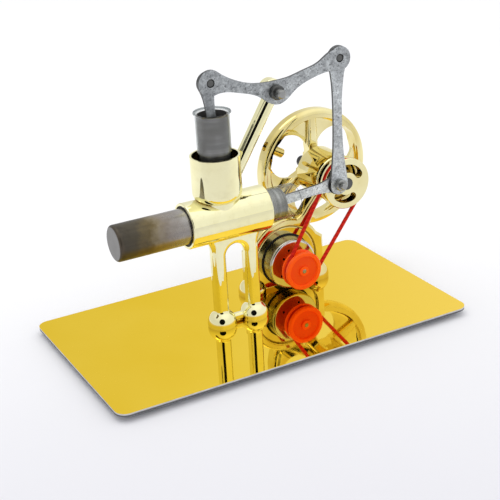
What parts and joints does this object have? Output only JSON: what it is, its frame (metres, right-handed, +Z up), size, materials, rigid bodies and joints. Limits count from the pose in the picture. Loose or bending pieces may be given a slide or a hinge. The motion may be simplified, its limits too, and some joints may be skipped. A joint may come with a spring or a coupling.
{
  "type": "stirling engine model",
  "caption": "Desk-top hot-air engine: horizontal hot cylinder, vertical cold cylinder, rocking beam, crank disc, flywheel and belt-driven generator on a mirror base.",
  "frame": {"origin": "centre of the base's outline, on the table under the rubber feet", "axes": "+X along the base's long side towards the crank and flywheel, +Y from the beam side to the flywheel side, +Z up"},
  "size_m": [0.1718, 0.0976, 0.1214],
  "materials": {
    "board_edge": "satin, silver-white cut edge",
    "gold_mirror": "deep gold mirror film",
    "gold_plating": "pale champagne-gold plating, mirror polish",
    "foot_rubber": "matt black",
    "heat_tinted_steel": "straw and brown heat tint towards the closed end",
    "zinc_steel": "galvanised, fine spangle",
    "bright_steel": "turned steel",
    "dark_steel": "oiled dark steel",
    "borosilicate_glass": "clear",
    "piston_grey": "ground, satin grey",
    "seal_black": "matt black",
    "belt_red": "red elastomer",
    "pulley_orange": "moulded orange plastic",
    "motor_nickel": "nickel-plated drawn steel",
    "cap_black": "moulded black plastic",
    "terminal_brass": "tinned brass",
    "magnet_dark": "ferrite"
  },
  "bodies": {
    "frame": {"base_board": "board_edge", "gold_top_sheet": "gold_mirror", "rubber_feet": "foot_rubber", "engine_block": "gold_plating", "rear_frame": "gold_plating", "front_frame_screws": "bright_steel", "rear_frame_screws": "bright_steel", "hot_cylinder": "heat_tinted_steel", "hot_cylinder_seal": "seal_black", "hot_glass_tube": "borosilicate_glass", "hot_glass_seal": "seal_black", "cold_glass_tube": "borosilicate_glass", "cold_glass_seal": "seal_black", "beam_pivot_shaft": "bright_steel", "beam_pivot_collar": "bright_steel", "beam_pivot_washer": "dark_steel", "front_bearing": "bright_steel", "rear_bearing": "bright_steel", "motor_can": "motor_nickel", "motor_end_cap": "cap_black", "motor_terminals": "terminal_brass", "motor_magnets": "magnet_dark", "motor_sleeve": "seal_black", "drive_belt": "belt_red"},
    "crank": {"crank_disc": "gold_plating", "crankshaft": "dark_steel", "flywheel": "gold_plating", "flywheel_balance_peg": "gold_plating", "shaft_end_cap": "cap_black"},
    "motor_spindle": {"motor_pulley": "pulley_orange", "motor_shaft": "bright_steel", "motor_rotor": "magnet_dark"},
    "rocking_beam": {"beam": "zinc_steel", "beam_left_pin": "dark_steel", "beam_right_pin": "dark_steel"},
    "vertical_link": {"link_rod": "zinc_steel", "crank_pin": "bright_steel", "crank_washer": "cap_black", "crank_pin_collar": "bright_steel"},
    "connecting_rod": {"con_rod": "zinc_steel", "hot_wrist_pin": "bright_steel"},
    "cold_piston_rod": {"cold_rod": "zinc_steel", "cold_wrist_pin": "bright_steel"},
    "cold_piston_body": {"cold_piston": "piston_grey"},
    "hot_piston_body": {"hot_piston": "piston_grey", "hot_piston_crown": "heat_tinted_steel"}
  },
  "joints": [
    {"name": "crank_spin", "type": "hinge", "parent": "frame", "child": "crank", "pos_m": [0.05437, 0.0083, 0.0551], "axis": [0, 1, 0], "continuous": true},
    {"name": "motor_spin", "type": "hinge", "parent": "frame", "child": "motor_spindle", "pos_m": [0.02927, 0.0083, 0.0179], "axis": [0, 1, 0], "continuous": true},
    {"name": "beam_rock", "type": "hinge", "parent": "frame", "child": "rocking_beam", "pos_m": [0.01587, -0.0033, 0.1069], "axis": [0, 1, 0], "range_deg": [-7.7, 16.5]},
    {"name": "cold_piston_slide", "type": "slide", "parent": "frame", "child": "cold_piston_body", "axis": [0, 0, 1], "range_m": [-0.0042, 0.0086]},
    {"name": "cold_rod_swing", "type": "hinge", "parent": "rocking_beam", "child": "cold_piston_rod", "pos_m": [-0.01433, -0.002, 0.1158], "axis": [0, 1, 0], "range_deg": [-9, 4.3]},
    {"name": "link_swing", "type": "hinge", "parent": "rocking_beam", "child": "vertical_link", "pos_m": [0.04867, -0.002, 0.116], "axis": [0, 1, 0], "range_deg": [-15, 7]},
    {"name": "con_rod_swing", "type": "hinge", "parent": "vertical_link", "child": "connecting_rod", "pos_m": [0.04767, -0.0002, 0.0575], "axis": [0, 1, 0], "range_deg": [-6.8, 14.3]},
    {"name": "hot_piston_slide", "type": "slide", "parent": "frame", "child": "hot_piston_body", "axis": [1, 0, 0], "range_m": [-0.0005, 0.0137]}
  ],
  "couplings": [
    {"joint": "motor_spin", "follows": "crank_spin", "ratio": 1.3354},
    {"joint": "cold_piston_slide", "follows": "beam_rock", "m_per_rad": 0.02926},
    {"joint": "cold_rod_swing", "follows": "beam_rock", "ratio": -0.534},
    {"joint": "link_swing", "follows": "beam_rock", "ratio": -0.898},
    {"joint": "con_rod_swing", "follows": "beam_rock", "ratio": 0.855}
  ]
}
